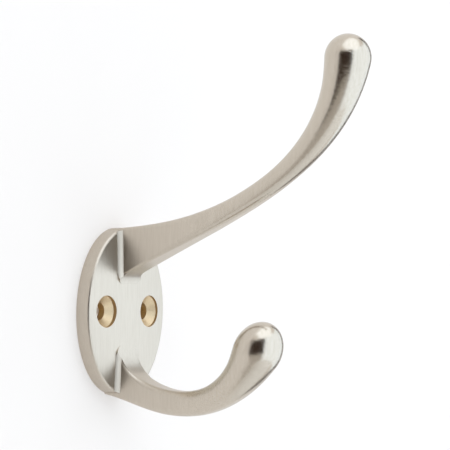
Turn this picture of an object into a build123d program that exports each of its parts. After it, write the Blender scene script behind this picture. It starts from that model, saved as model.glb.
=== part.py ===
"""Hat and coat hook.

One casting: a domed oval back plate, a long hat arm above and a shorter coat hook below.
Each arm leaves the plate as a flat-sided bar, thins to a waist and swells into a round knob.
"""

import os
from math import atan, cos, degrees, radians, sin, tan

from build123d import *

# Lengths are in millimetres and angles in degrees. A share is a share of a centre line's length.
# The wall is the plane y = 0, the casting stands out from it toward -y, and z is up.

# Back plate
PLATE_WIDTH = 34.0
PLATE_HEIGHT = 44.5
PLATE_RIM = 4.1  # thickness at the rim
PLATE_DOME = 0.65  # how far the middle of the face stands above the rim
PLATE_EDGE_RADIUS = 0.7

# Two countersunk screw holes, side by side
HOLE_SPACING = 19.3
HOLE_BORE = 4.6
HOLE_MOUTH = 8.5
HOLE_MOUTH_DEPTH = 0.45  # below the rim's level: the short straight step above the cone ends there
HOLE_CONE_ANGLE = 100.0

# Both arms where they leave the plate
ROOT_WIDTH = 8.0
ROOT_COVE_WIDTH = 1.4  # across the plate's face
ROOT_COVE_HEIGHT = 1.0  # out from the plate's face
ROOT_COVE_RADIUS = 4.0
ROOT_COVE_INSET = 0.05  # the coves end this far inside an arm
ROOT_FOOT_CORNER = 4.0  # how round the foot of an arm ends on the plate's face

# Hat arm: centre line
HAT_ROOT_RISE = 15.5
HAT_ROOT_ANGLE = 10.6
HAT_ROOT_PULL = 24.9  # how far the curve is drawn along its first direction
HAT_END_REACH = 71.5
HAT_END_RISE = 65.35
HAT_END_ANGLE = 83.0
HAT_END_PULL = 31.0

# Hat arm: cross-sections
HAT_ROOT_TOP = 6.3  # from the centre line at the wall
HAT_ROOT_UNDERSIDE = 7.9
HAT_ROOT_CORNER = 0.5
HAT_ROOT_HOLLOW = 4.5  # radius between the underside and the plate
HAT_WAIST_THICKNESS = 5.25
HAT_WAIST_SHARE = 0.47
HAT_WAIST_WIDTH = 6.0
HAT_NARROWEST_SHARE = 0.6
HAT_ROUND_SHARE = 0.45  # from here on the sections are round
HAT_KNOB_DIAMETER = 11.9
HAT_KNOB_DOME = 6.19  # half length of the egg that closes the knob

# Coat hook: centre line
COAT_ROOT_DROP = 16.2
COAT_ROOT_ANGLE = -31.1
COAT_ROOT_PULL = 29.3
COAT_END_REACH = 44.6
COAT_END_DROP = 11.4
COAT_END_ANGLE = 59.4
COAT_END_PULL = 10.6

# Coat hook: cross-sections
COAT_ROOT_INSIDE = 8.9  # from the centre line at the wall
COAT_ROOT_UNDERSIDE = 6.5
COAT_ROOT_CORNER = 0.8
COAT_ROOT_HOLLOW = 8.0  # radius between the inside and the plate
COAT_WAIST_THICKNESS = 6.6
COAT_WAIST_SHARE = 0.405
COAT_WAIST_WIDTH = 6.8
COAT_NARROWEST_SHARE = 0.5
COAT_ROUND_SHARE = 0.6
COAT_KNOB_DIAMETER = 12.1
COAT_KNOB_DOME = 7.68

# How each size changes along its arm: the powers of its fall to the waist and of its growth to the knob.
# A hold keeps the root's size for longer, and a fullness fills the growth out early.
HAT_TOP_CHANGE = {"fall": 2.4, "hold": 1.3, "growth": 2.9, "fullness": 1.3}
HAT_UNDERSIDE_CHANGE = {"fall": 2.4, "growth": 1.8}
HAT_WIDTH_CHANGE = {"fall": 1.2, "growth": 1.4}
COAT_INSIDE_CHANGE = {"fall": 4.4, "growth": 2.9}
COAT_UNDERSIDE_CHANGE = {"fall": 3.5, "growth": 2.9}
COAT_WIDTH_CHANGE = {"fall": 1.2, "growth": 1.6}

# Cross-sections stand along a centre line, closer together near the root.
SECTION_COUNT = 18
SECTION_CROWDING = 1.6
SECTION_SHARES = [(k / (SECTION_COUNT - 1)) ** SECTION_CROWDING for k in range(SECTION_COUNT)]
ROOT_SECTION_COUNT = 7  # these cover the part of an arm that the root coves follow
SECTION_FLAT = 0.12  # left between two corners of the roundest sections
DOME_ANGLES = (0, 18, 36, 52, 66, 78, 87)


def centre_line(root_z, root_angle, root_pull, end_reach, end_z, end_angle, end_pull):
    """The curve in the middle plane, from the wall to the start of the knob's dome."""
    root = Vector(0, 0, root_z)
    end = Vector(0, -end_reach, end_z)
    leaving = Vector(0, -cos(radians(root_angle)), sin(radians(root_angle)))
    arriving = Vector(0, -cos(radians(end_angle)), sin(radians(end_angle)))
    with BuildLine() as line:
        Bezier(root, root + leaving * root_pull, end - arriving * end_pull, end)
    return line.edge()


def size_along(share, root, waist, end, waist_share, fall, growth, hold=1.0, fullness=0.0):
    """A size at a share of the centre line: it falls from root to waist, then grows to the end."""
    if share < waist_share:
        remaining = 1 - (share / waist_share) ** hold
        return waist + (root - waist) * remaining**fall
    onward = (share - waist_share) / (1 - waist_share)
    return waist + (end - waist) * onward**growth * (1 + fullness * (1 - onward))


def plane_across(line, share, offset=0.0):
    """The plane square to the centre line at a share of it, moved up its own upright."""
    on_line = Plane(line @ share, x_dir=(1, 0, 0), z_dir=line % share)
    return Plane(on_line.from_local_coords((0, offset, 0)), x_dir=(1, 0, 0), z_dir=on_line.z_dir)


def cross_section(plane, width, height, corner):
    """One flat rounded rectangle."""
    with BuildSketch(plane) as section:
        RectangleRounded(width, height, corner)
    return section.sketch


def dome_sections(line, diameter, flare, dome):
    """Round sections that close the knob: an egg-shaped dome, tangent to the flaring arm."""
    stretch = dome / (diameter / 2)
    start = atan(stretch * flare)
    radius = diameter / 2 / cos(start)
    along = line % 1
    sections = []
    for angle in DOME_ANGLES:
        ahead = radius * stretch * (sin(radians(angle)) + sin(start))
        across = 2 * radius * cos(radians(angle))
        plane = Plane(line @ 1 + along * ahead, x_dir=(1, 0, 0), z_dir=along)
        sections.append(cross_section(plane, across, across, (across - SECTION_FLAT) / 2))
    return sections


def arm_sections(line, upper, lower, width, corner, round_share, dome):
    """All sections of one arm. upper, lower and width each give a size at a share of the line."""
    sections = []
    for share in SECTION_SHARES:
        height = upper(share) + lower(share)
        roundest = (min(width(share), height) - SECTION_FLAT) / 2
        rounding = corner + (roundest - corner) * min(share / round_share, 1) ** 2
        plane = plane_across(line, share, (upper(share) - lower(share)) / 2)
        sections.append(cross_section(plane, width(share), height, rounding))
    end_step = 0.01
    flare = (upper(1) - upper(1 - end_step)) / (end_step * line.length)
    return sections + dome_sections(line, width(1), flare, dome)


def root_cove(line, upper, lower, width, corner, hollow):
    """The hollow fillets of an arm's root, along its sides and inner face, inside the plate's outline.

    The cove along the sides follows the domed face. It is turned past the rim, then cut to the arm seen
    from the side, and then to its foot on the plate.
    """
    face = -PLATE_RIM - PLATE_DOME
    top = face - ROOT_COVE_HEIGHT
    hollow_top = face - hollow
    plate_inside = -PLATE_RIM / 2
    plate_front = face + 3 * ROOT_COVE_INSET
    inner = width(-top / line.length) / 2 - ROOT_COVE_INSET
    innermost = width(-hollow_top / line.length) / 2 - ROOT_COVE_INSET - corner
    outer = inner + ROOT_COVE_WIDTH
    root_z = (line @ 0).Z
    toward_rim = root_z / abs(root_z)
    dome_radius = ((PLATE_HEIGHT / 2) ** 2 + PLATE_DOME**2) / (2 * PLATE_DOME)
    dome_axis = Axis((0, face + dome_radius, 0), (-root_z, 0, 0))
    past_rim = 1.5 * degrees(atan(PLATE_HEIGHT / 2 / dome_radius))

    # The arm's outline seen from the side, a little inside the real one
    above = []
    below = []
    for share in SECTION_SHARES[:ROOT_SECTION_COUNT]:
        upper_point = plane_across(line, share, upper(share) - ROOT_COVE_INSET).origin
        lower_point = plane_across(line, share, ROOT_COVE_INSET - lower(share)).origin
        above.append((upper_point.Y, upper_point.Z))
        below.append((lower_point.Y, lower_point.Z))

    with BuildPart() as cove:
        with BuildSketch(Plane.XY) as foot:
            with BuildLine():
                RadiusArc((outer, face), (inner, top), ROOT_COVE_RADIUS)
                Polyline((inner, top), (innermost, hollow_top), (0, hollow_top))
                Polyline((0, hollow_top), (0, plate_inside), (outer, plate_inside), (outer, face))
            make_face()
            mirror(about=Plane.YZ)
        revolve(axis=dome_axis, revolution_arc=past_rim)
        with BuildSketch(Plane.YZ) as side_outline:
            with BuildLine():
                Spline(*above)
                Line(above[-1], below[-1])
                Spline(*below)
                Line(below[0], above[0])
            make_face()
            with BuildLine():
                Polyline(
                    (plate_inside, 0),
                    (plate_front, 0),
                    (plate_front, root_z),
                    (plate_inside, root_z),
                    close=True,
                )
            make_face()
            on_front = side_outline.vertices().filter_by(lambda vertex: abs(vertex.X - plate_front) < 1e-4)
            hollow_corner = on_front.sort_by(lambda vertex: abs(vertex.Y))[-1]
            fillet(hollow_corner, hollow)
            hollow_edge = side_outline.edges().filter_by(GeomType.CIRCLE)[0]
            hollow_start = hollow_edge.vertices().sort_by(lambda vertex: abs(vertex.Y))[0].Y
        extrude(amount=outer, both=True, mode=Mode.INTERSECT)
        with BuildSketch(Plane.XZ) as foot_outline:
            Ellipse(PLATE_WIDTH / 2, PLATE_HEIGHT / 2)
            with Locations((0, hollow_start + toward_rim * PLATE_HEIGHT / 2)):
                RectangleRounded(2 * outer, PLATE_HEIGHT, ROOT_FOOT_CORNER, mode=Mode.INTERSECT)
        extrude(amount=-2 * hollow_top, both=True, mode=Mode.INTERSECT)
    return cove.part


# Back plate: a domed disc, drawn to an oval
with BuildPart() as plate:
    with BuildSketch(Plane.XY) as plate_profile:
        with BuildLine():
            face_middle = (0, -PLATE_RIM - PLATE_DOME)
            face_edge = (PLATE_HEIGHT / 2, -PLATE_RIM)
            TangentArc(face_middle, face_edge, tangent=(1, 0))
            Polyline(face_edge, (PLATE_HEIGHT / 2, 0), (0, 0), face_middle)
        make_face()
        edge_corner = plate_profile.vertices().group_by(Axis.X)[-1].sort_by(Axis.Y)[0]
        fillet(edge_corner, PLATE_EDGE_RADIUS)
    revolve(axis=Axis.Y)
    scale(by=(PLATE_WIDTH / PLATE_HEIGHT, 1, 1))

# Hat arm
hat_line = centre_line(
    HAT_ROOT_RISE,
    HAT_ROOT_ANGLE,
    HAT_ROOT_PULL,
    HAT_END_REACH,
    HAT_END_RISE,
    HAT_END_ANGLE,
    HAT_END_PULL,
)
hat_thickness = (HAT_WAIST_THICKNESS / 2, HAT_KNOB_DIAMETER / 2, HAT_WAIST_SHARE)


def hat_top(share):
    return size_along(share, HAT_ROOT_TOP, *hat_thickness, **HAT_TOP_CHANGE)


def hat_underside(share):
    return size_along(share, HAT_ROOT_UNDERSIDE, *hat_thickness, **HAT_UNDERSIDE_CHANGE)


def hat_width(share):
    sizes = (ROOT_WIDTH, HAT_WAIST_WIDTH, HAT_KNOB_DIAMETER)
    return size_along(share, *sizes, HAT_NARROWEST_SHARE, **HAT_WIDTH_CHANGE)


with BuildPart() as hat_arm:
    hat_sizes = (hat_top, hat_underside, hat_width)
    loft(arm_sections(hat_line, *hat_sizes, HAT_ROOT_CORNER, HAT_ROUND_SHARE, HAT_KNOB_DOME))

# Coat hook
coat_line = centre_line(
    -COAT_ROOT_DROP,
    COAT_ROOT_ANGLE,
    COAT_ROOT_PULL,
    COAT_END_REACH,
    -COAT_END_DROP,
    COAT_END_ANGLE,
    COAT_END_PULL,
)
coat_thickness = (COAT_WAIST_THICKNESS / 2, COAT_KNOB_DIAMETER / 2, COAT_WAIST_SHARE)


def coat_inside(share):
    return size_along(share, COAT_ROOT_INSIDE, *coat_thickness, **COAT_INSIDE_CHANGE)


def coat_underside(share):
    return size_along(share, COAT_ROOT_UNDERSIDE, *coat_thickness, **COAT_UNDERSIDE_CHANGE)


def coat_width(share):
    sizes = (ROOT_WIDTH, COAT_WAIST_WIDTH, COAT_KNOB_DIAMETER)
    return size_along(share, *sizes, COAT_NARROWEST_SHARE, **COAT_WIDTH_CHANGE)


with BuildPart() as coat_hook:
    coat_sizes = (coat_inside, coat_underside, coat_width)
    loft(arm_sections(coat_line, *coat_sizes, COAT_ROOT_CORNER, COAT_ROUND_SHARE, COAT_KNOB_DOME))

# The casting: plate, arms and root coves joined, cut flat at the wall and drilled
with BuildPart() as hook:
    add(plate.part)
    add(hat_arm.part)
    add(coat_hook.part)
    add(root_cove(hat_line, *hat_sizes, HAT_ROOT_CORNER, HAT_ROOT_HOLLOW))
    add(root_cove(coat_line, *coat_sizes, COAT_ROOT_CORNER, COAT_ROOT_HOLLOW))
    split(bisect_by=Plane.XZ, keep=Keep.TOP)

    cone_depth = (HOLE_MOUTH - HOLE_BORE) / 2 / tan(radians(HOLE_CONE_ANGLE / 2))
    step_level = -PLATE_RIM + HOLE_MOUTH_DEPTH
    for side in (-1, 1):
        with BuildSketch(Plane.XY) as hole_profile:
            with BuildLine():
                middle = side * HOLE_SPACING / 2
                Polyline(
                    (middle, 0),
                    (middle + HOLE_BORE / 2, 0),
                    (middle + HOLE_BORE / 2, step_level + cone_depth),
                    (middle + HOLE_MOUTH / 2, step_level),
                    (middle + HOLE_MOUTH / 2, -2 * PLATE_RIM),
                    (middle, -2 * PLATE_RIM),
                    close=True,
                )
            make_face()
        revolve(axis=Axis((middle, 0, 0), (0, 1, 0)), mode=Mode.SUBTRACT)

hook.part.label = "hook"
os.makedirs("parts", exist_ok=True)
export_step(hook.part, "parts/hook.step")
print("volume", round(hook.part.volume), "solids", len(hook.solids()), "box", hook.part.bounding_box())
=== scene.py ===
"""Looks for the hat and coat hook: satin nickel with bare brass in the screw holes, on a pale wall."""

import math

import bpy
from mathutils import Matrix, Vector

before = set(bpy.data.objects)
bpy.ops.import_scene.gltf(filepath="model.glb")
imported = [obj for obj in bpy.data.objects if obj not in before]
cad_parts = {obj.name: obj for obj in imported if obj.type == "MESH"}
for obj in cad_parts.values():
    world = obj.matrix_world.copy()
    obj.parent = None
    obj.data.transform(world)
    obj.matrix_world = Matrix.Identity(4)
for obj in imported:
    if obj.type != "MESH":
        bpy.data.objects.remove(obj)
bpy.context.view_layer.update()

# Lengths are in metres, the camera's lens and sensor in millimetres, and angles in degrees. The wall is the
# plane y = 0, the hook stands out toward -y, and z is up. Azimuth 0 is straight in front of the hook, and
# azimuth 90 is on the side of +x.

# Camera
CAMERA_AZIMUTH = -53.95
CAMERA_ELEVATION = 1.13
CAMERA_ROLL = 1.06
CAMERA_DISTANCE = 0.75
CAMERA_LENS = 224.0
CAMERA_CLIP_START = 0.01
SENSOR = 36.0
PICTURE = 450  # pixels in the picture's width and height
ORIGIN_SEEN_AT = (114.5, 311.0)  # in the picture, from its top left corner

# Screw holes
HOLE_MIDDLE = 0.00965
HOLE_MOUTH_RADIUS = 0.00425
HOLE_BORE_RADIUS = 0.0023
FACE_NORMAL_Y = -0.99  # a face turned further than this to the front is the plate's own
BACK_MARGIN = 1e-5  # a face nearer the wall than this is the plate's back

# Nickel. A fineness is in noise cells per metre along x, y and z.
NICKEL_DARK = (0.55, 0.490, 0.412)
NICKEL_LIGHT = (0.59, 0.530, 0.452)
NICKEL_ROUGHNESS = (0.23, 0.30)
NICKEL_ANISOTROPY = 0.3
BRUSHING_FINENESS = (9000, 9000, 500)
BRUSHING_DEPTH = 0.00005
BRUSHING_STRENGTH = 0.05
HAIRLINE_FINENESS = (2200, 2200, 180)
DULLING_SPAN = (-0.045, -0.004)  # in y, from out in front to the plate
DULLING = (-0.03, 0.10)  # added to the roughness at the two ends of that span

# Brass
BRASS_DARK = (0.62, 0.47, 0.29)
BRASS_LIGHT = (0.72, 0.58, 0.39)
BRASS_ROUGHNESS = (0.34, 0.50)
TURNING_FINENESS = (2500, 9000, 2500)

# Wall and floor
WALL_PLANE = 0.0001  # just behind the plate
WALL_OPENING = (0.0165, 0.0218)  # half sizes, just inside the plate's outline
WALL_LEFT = -0.28
WALL_RIGHT = 0.6
WALL_TOP = 1.2
FLOOR_LEFT = -0.75
FLOOR_DROP = 1.0
FLOOR_DEPTH = 1.0
PAINT_ROUGHNESS = 0.9

# Light
HOOK_MIDDLE = Vector((0, -0.035, 0.02))  # what the top softbox faces
SOFTBOX_DEPTH = 0.01  # from its lamp to its dark back
CARD_DISTANCE = 1.2
HIGH_CARD_DISTANCE = 1.25
CAMERA_GAP = (-114, -34)  # azimuths of the studio's dark part, round the camera
CAMERA_GAP_HEIGHTS = (-0.42, 0.72)
SOFTBOX_END = 78  # azimuth of the right softbox's far end
SOFTBOX_HEIGHTS = (-1.0, 1.0)
EDGE_FLAG_END = 97  # azimuth
EDGE_FLAG_TOP = 1.2
STUDIO_BOTTOM = -1.6
STUDIO_TOP = 1.6
BACK_CARD_PLANE = 1.0
BACK_CARD_HALF = 0.8
FLAG_COLOUR = (0.030, 0.012, 0.002)

# The part of a noise's range that most of it falls in
NOISE_LOW = 0.3
NOISE_HIGH = 0.7


def new_material(name):
    """A material with no node but its output, and its nodes, its links and that output."""
    material = bpy.data.materials.new(name)
    material.use_nodes = True
    nodes = material.node_tree.nodes
    nodes.clear()
    return material, nodes, material.node_tree.links, nodes.new("ShaderNodeOutputMaterial")


def noise(nodes, links, fineness, detail):
    """Noise in the object's own frame, drawn out along the axes where it is less fine."""
    place = nodes.new("ShaderNodeTexCoord")
    mapping = nodes.new("ShaderNodeMapping")
    mapping.inputs["Scale"].default_value = fineness
    texture = nodes.new("ShaderNodeTexNoise")
    texture.inputs["Scale"].default_value = 1.0
    texture.inputs["Detail"].default_value = detail
    links.new(place.outputs["Object"], mapping.inputs["Vector"])
    links.new(mapping.outputs["Vector"], texture.inputs["Vector"])
    return texture.outputs["Fac"]


def mapped(nodes, links, value, span, result):
    """A number that goes from one result to the other while a value crosses a span."""
    ramp = nodes.new("ShaderNodeMapRange")
    ramp.inputs["From Min"].default_value = span[0]
    ramp.inputs["From Max"].default_value = span[1]
    ramp.inputs["To Min"].default_value = result[0]
    ramp.inputs["To Max"].default_value = result[1]
    links.new(value, ramp.inputs["Value"])
    return ramp.outputs["Result"]


def tinted(nodes, links, factor, dark, light):
    """A colour that follows a noise from dark to light."""
    ramp = nodes.new("ShaderNodeValToRGB")
    ramp.color_ramp.elements[0].position = NOISE_LOW
    ramp.color_ramp.elements[0].color = (*dark, 1)
    ramp.color_ramp.elements[1].position = NOISE_HIGH
    ramp.color_ramp.elements[1].color = (*light, 1)
    links.new(factor, ramp.inputs["Fac"])
    return ramp.outputs["Color"]


def looked_at(nodes, links):
    """1 for rays from the camera, off metal or through glass, and 0 for the rest."""
    path = nodes.new("ShaderNodeLightPath")
    seen = path.outputs["Is Camera Ray"]
    for ray in ("Is Glossy Ray", "Is Transmission Ray"):
        larger = nodes.new("ShaderNodeMath")
        larger.operation = "MAXIMUM"
        links.new(seen, larger.inputs[0])
        links.new(path.outputs[ray], larger.inputs[1])
        seen = larger.outputs["Value"]
    return seen


def satin_nickel():
    """Warm grey plated metal, finely brushed up and down, and duller toward the plate."""
    material, nodes, links, output = new_material("satin_nickel")
    metal = nodes.new("ShaderNodeBsdfPrincipled")
    metal.inputs["Metallic"].default_value = 1.0
    metal.inputs["Anisotropic"].default_value = NICKEL_ANISOTROPY
    brushing = noise(nodes, links, BRUSHING_FINENESS, detail=2.0)
    hairlines = noise(nodes, links, HAIRLINE_FINENESS, detail=3.0)
    links.new(tinted(nodes, links, hairlines, NICKEL_DARK, NICKEL_LIGHT), metal.inputs["Base Color"])

    place = nodes.new("ShaderNodeTexCoord")
    apart = nodes.new("ShaderNodeSeparateXYZ")
    links.new(place.outputs["Object"], apart.inputs["Vector"])
    sheen = nodes.new("ShaderNodeMath")
    links.new(mapped(nodes, links, brushing, (NOISE_LOW, NOISE_HIGH), NICKEL_ROUGHNESS), sheen.inputs[0])
    links.new(mapped(nodes, links, apart.outputs["Y"], DULLING_SPAN, DULLING), sheen.inputs[1])
    links.new(sheen.outputs["Value"], metal.inputs["Roughness"])

    grain = nodes.new("ShaderNodeTangent")
    grain.direction_type = "RADIAL"
    grain.axis = "Z"
    links.new(grain.outputs["Tangent"], metal.inputs["Tangent"])
    bump = nodes.new("ShaderNodeBump")
    bump.inputs["Strength"].default_value = BRUSHING_STRENGTH
    bump.inputs["Distance"].default_value = BRUSHING_DEPTH
    links.new(brushing, bump.inputs["Height"])
    links.new(bump.outputs["Normal"], metal.inputs["Normal"])
    links.new(metal.outputs["BSDF"], output.inputs["Surface"])
    return material


def bare_brass():
    """The casting's own brass where the holes were drilled after plating."""
    material, nodes, links, output = new_material("bare_brass")
    metal = nodes.new("ShaderNodeBsdfPrincipled")
    metal.inputs["Metallic"].default_value = 1.0
    turning = noise(nodes, links, TURNING_FINENESS, detail=2.0)
    roughness = mapped(nodes, links, turning, (NOISE_LOW, NOISE_HIGH), BRASS_ROUGHNESS)
    links.new(tinted(nodes, links, turning, BRASS_DARK, BRASS_LIGHT), metal.inputs["Base Color"])
    links.new(roughness, metal.inputs["Roughness"])
    links.new(metal.outputs["BSDF"], output.inputs["Surface"])
    return material


def inside_a_hole(polygon):
    """Whether a face of the casting is in a screw hole, and not on the plate's front or back."""
    middle = polygon.center
    from_axis = math.hypot(abs(middle.x) - HOLE_MIDDLE, middle.z)
    on_front = polygon.normal.y <= FACE_NORMAL_Y
    on_back = middle.y >= -BACK_MARGIN
    return from_axis < HOLE_MOUTH_RADIUS and not on_front and not on_back


def plain_paint(name, colour, glow):
    """Matt paint, lifted by its own glow where it is looked at directly or in the metal.

    It is clear from behind, so that the hook's back can be seen.
    """
    material, nodes, links, output = new_material(name)
    paint = nodes.new("ShaderNodeBsdfPrincipled")
    paint.inputs["Base Color"].default_value = (*colour, 1)
    paint.inputs["Roughness"].default_value = PAINT_ROUGHNESS
    paint.inputs["Specular IOR Level"].default_value = 0.0
    strength = nodes.new("ShaderNodeMath")
    strength.operation = "MULTIPLY"
    strength.inputs[1].default_value = glow
    links.new(looked_at(nodes, links), strength.inputs[0])
    lifted = nodes.new("ShaderNodeEmission")
    links.new(strength.outputs["Value"], lifted.inputs["Strength"])
    total = nodes.new("ShaderNodeAddShader")
    links.new(paint.outputs["BSDF"], total.inputs[0])
    links.new(lifted.outputs["Emission"], total.inputs[1])
    side = nodes.new("ShaderNodeNewGeometry")
    clear = nodes.new("ShaderNodeBsdfTransparent")
    one_sided = nodes.new("ShaderNodeMixShader")
    links.new(side.outputs["Backfacing"], one_sided.inputs["Fac"])
    links.new(total.outputs["Shader"], one_sided.inputs[1])
    links.new(clear.outputs["BSDF"], one_sided.inputs[2])
    links.new(one_sided.outputs["Shader"], output.inputs["Surface"])
    return material


def glowing(name, colour, strength):
    """The cloth of a softbox, a reflector or a dark flag."""
    material, nodes, links, output = new_material(name)
    cloth = nodes.new("ShaderNodeEmission")
    cloth.inputs["Color"].default_value = (*colour, 1)
    cloth.inputs["Strength"].default_value = strength
    links.new(cloth.outputs["Emission"], output.inputs["Surface"])
    return material


def studio_sheet(name, material, points, faces):
    """A thin sheet that belongs to the studio, not to the object."""
    mesh = bpy.data.meshes.new(name)
    mesh.from_pydata(points, [], faces)
    mesh.materials.append(material)
    sheet = bpy.data.objects.new(name, mesh)
    bpy.context.scene.collection.objects.link(sheet)
    return sheet


def flat_sheet(name, material, corners):
    """A four-cornered sheet."""
    return studio_sheet(name, material, corners, [(0, 1, 2, 3)])


def curved_card(name, material, azimuths, distance, heights):
    """A sheet bent round the hook, between two azimuths and two heights."""
    steps = 24
    points = []
    for step in range(steps + 1):
        angle = math.radians(azimuths[0] + (azimuths[1] - azimuths[0]) * step / steps)
        for height in heights:
            points.append((math.sin(angle) * distance, -math.cos(angle) * distance, height))
    faces = []
    for first in range(0, 2 * steps, 2):
        faces.append((first, first + 2, first + 3, first + 1))
    return studio_sheet(name, material, points, faces)


def wall_with_opening(name, material):
    """The wall, with an oval opening behind the plate so that the hook's back can be seen."""
    steps = 96
    points = []
    for step in range(steps):
        # Half a step on, so that no line from the middle runs along an axis
        angle = 2 * math.pi * (step + 0.5) / steps
        across = math.cos(angle)
        along = math.sin(angle)
        points.append((across * WALL_OPENING[0], WALL_PLANE, along * WALL_OPENING[1]))
        to_side = (WALL_RIGHT if across > 0 else WALL_LEFT) / across
        to_end = (WALL_TOP if along > 0 else -FLOOR_DROP) / along
        reach = min(to_side, to_end)
        points.append((across * reach, WALL_PLANE, along * reach))
    count = len(points)
    faces = []
    for first in range(0, count, 2):
        faces.append((first, first + 1, (first + 3) % count, (first + 2) % count))
    return studio_sheet(name, material, points, faces)


def round_sheet(name, material, middle, radius):
    """A disc in the wall's plane."""
    steps = 48
    points = []
    for step in range(steps):
        angle = 2 * math.pi * step / steps
        points.append((middle + radius * math.cos(angle), WALL_PLANE, radius * math.sin(angle)))
    return studio_sheet(name, material, points, [range(steps)])


def soft_light(name, direction, distance, size, colour, power):
    """A softbox that faces the hook from a direction, with a dark back."""
    light = bpy.data.lights.new(name, "AREA")
    light.color = colour
    light.shape = "RECTANGLE"
    light.size, light.size_y = size
    light.energy = power
    lamp = bpy.data.objects.new(name, light)
    toward = Vector(direction).normalized()
    turn = toward.to_track_quat("Z", "Y")
    lamp.location = HOOK_MIDDLE + toward * distance
    lamp.rotation_euler = turn.to_euler()
    bpy.context.scene.collection.objects.link(lamp)
    corners = []
    for across, along in ((-0.5, -0.5), (0.5, -0.5), (0.5, 0.5), (-0.5, 0.5)):
        corners.append(lamp.location + turn @ Vector((across * size[0], along * size[1], SOFTBOX_DEPTH)))
    flat_sheet(name + "_back", glowing("softbox_back", FLAG_COLOUR, strength=1.0), corners)
    return lamp


def white_world():
    """A surround that is white to the camera, in metal and through glass, and nearly dark otherwise."""
    world = bpy.data.worlds.new("white_surround")
    world.use_nodes = True
    nodes = world.node_tree.nodes
    links = world.node_tree.links
    dim = nodes["Background"]
    dim.inputs["Color"].default_value = (*FLAG_COLOUR, 1)
    white = nodes.new("ShaderNodeBackground")
    white.inputs["Color"].default_value = (1, 1, 1, 1)
    mixed = nodes.new("ShaderNodeMixShader")
    links.new(looked_at(nodes, links), mixed.inputs["Fac"])
    links.new(dim.outputs["Background"], mixed.inputs[1])
    links.new(white.outputs["Background"], mixed.inputs[2])
    links.new(mixed.outputs["Shader"], nodes["World Output"].inputs["Surface"])
    return world


def photograph_camera():
    """A camera at the photograph's viewing angle, aimed so that the origin is seen where it is there."""
    azimuth = math.radians(CAMERA_AZIMUTH)
    elevation = math.radians(CAMERA_ELEVATION)
    roll = math.radians(CAMERA_ROLL)
    level_reach = math.cos(elevation)
    back = Vector((math.sin(azimuth) * level_reach, -math.cos(azimuth) * level_reach, math.sin(elevation)))
    level = Vector((math.cos(azimuth), math.sin(azimuth), 0))
    right = level * math.cos(roll) + back.cross(level) * math.sin(roll)
    up = back.cross(right)
    metres_per_pixel = CAMERA_DISTANCE * SENSOR / CAMERA_LENS / PICTURE
    off_right = PICTURE / 2 - ORIGIN_SEEN_AT[0]
    off_up = ORIGIN_SEEN_AT[1] - PICTURE / 2
    picture_middle = (right * off_right + up * off_up) * metres_per_pixel
    station = back * CAMERA_DISTANCE
    backward = (station - picture_middle).normalized()
    sideways = up.cross(backward).normalized()
    upward = backward.cross(sideways)
    lens = bpy.data.cameras.new("camera")
    lens.lens = CAMERA_LENS
    lens.sensor_width = SENSOR
    lens.clip_start = CAMERA_CLIP_START
    camera = bpy.data.objects.new("camera", lens)
    turn = Matrix((sideways, upward, backward)).transposed()
    camera.matrix_world = Matrix.Translation(station) @ turn.to_4x4()
    bpy.context.scene.collection.objects.link(camera)
    return camera


# Metal on the casting: nickel all over (slot 0), brass inside the two screw holes (slot 1)
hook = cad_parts["hook"]
hook.data.materials.clear()
hook.data.materials.append(satin_nickel())
hook.data.materials.append(bare_brass())
for polygon in hook.data.polygons:
    polygon.material_index = 1 if inside_a_hole(polygon) else 0

# Wall behind, a brown disc of painted shade at the bottom of each of the two bores, and floor below
wall_with_opening("wall", plain_paint("wall_paint", colour=(0.537, 0.494, 0.462), glow=0.395))
# The discs' darkness is painted shade, and their brown tint is a painted reflection of the brass bore
# around them; they have no glow
painted_bore_shade = plain_paint("painted_bore_shade", colour=(0.44, 0.30, 0.14), glow=0.0)
for middle in (-HOLE_MIDDLE, HOLE_MIDDLE):
    round_sheet("painted_shade_disc", painted_bore_shade, middle, HOLE_BORE_RADIUS)
floor_corners = [
    (FLOOR_LEFT, 0, -FLOOR_DROP),
    (FLOOR_LEFT, -FLOOR_DEPTH, -FLOOR_DROP),
    (WALL_RIGHT, -FLOOR_DEPTH, -FLOOR_DROP),
    (WALL_RIGHT, 0, -FLOOR_DROP),
]
flat_sheet("floor", plain_paint("floor_paint", colour=(0.85, 0.84, 0.82), glow=0.3), floor_corners)

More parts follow.
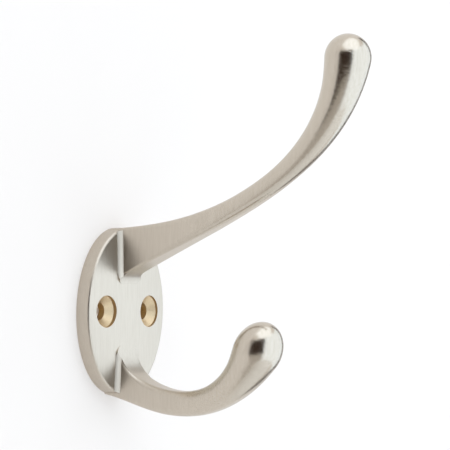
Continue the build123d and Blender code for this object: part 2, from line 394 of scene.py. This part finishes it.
# Light: a large soft source in front on the right, one above, and reflectors below, above and behind
curved_card(
    "right_softbox",
    glowing("softbox_cloth", colour=(0.90, 1.0, 1.10), strength=1.58),
    azimuths=(CAMERA_GAP[1], SOFTBOX_END),
    distance=CARD_DISTANCE,
    heights=SOFTBOX_HEIGHTS,
)
curved_card(
    "low_reflector",
    glowing("reflector_cloth", colour=(1.0, 0.97, 0.92), strength=0.60),
    azimuths=CAMERA_GAP,
    distance=CARD_DISTANCE,
    heights=(STUDIO_BOTTOM, CAMERA_GAP_HEIGHTS[0]),
)
curved_card(
    "high_reflector",
    glowing("high_cloth", colour=(1.0, 0.98, 0.95), strength=0.95),
    azimuths=(CAMERA_GAP[0], SOFTBOX_END),
    distance=HIGH_CARD_DISTANCE,
    heights=(CAMERA_GAP_HEIGHTS[1], STUDIO_TOP),
)
back_corners = [
    (-BACK_CARD_HALF, BACK_CARD_PLANE, -BACK_CARD_HALF),
    (BACK_CARD_HALF, BACK_CARD_PLANE, -BACK_CARD_HALF),
    (BACK_CARD_HALF, BACK_CARD_PLANE, BACK_CARD_HALF),
    (-BACK_CARD_HALF, BACK_CARD_PLANE, BACK_CARD_HALF),
]
flat_sheet("back_card", glowing("back_cloth", colour=(1.0, 0.98, 0.95), strength=0.8), back_corners)
soft_light(
    "top_softbox",
    direction=(-0.22, -0.37, 0.91),
    distance=CARD_DISTANCE,
    size=(1.6, 1.35),
    colour=(0.92, 1.0, 1.08),
    power=12.2,
)

# Dark flags that the metal mirrors, round the camera and at the softbox's far end, out of direct sight
flag_cloth = glowing("flag_cloth", FLAG_COLOUR, strength=1.0)
camera_flag = curved_card(
    "camera_flag",
    flag_cloth,
    azimuths=CAMERA_GAP,
    distance=CARD_DISTANCE,
    heights=CAMERA_GAP_HEIGHTS,
)
edge_flag = curved_card(
    "edge_flag",
    flag_cloth,
    azimuths=(SOFTBOX_END, EDGE_FLAG_END),
    distance=CARD_DISTANCE,
    heights=(STUDIO_BOTTOM, EDGE_FLAG_TOP),
)
camera_flag.visible_camera = False
edge_flag.visible_camera = False

bpy.context.scene.world = white_world()
bpy.context.scene.camera = photograph_camera()
bpy.context.scene.view_settings.view_transform = "Standard"
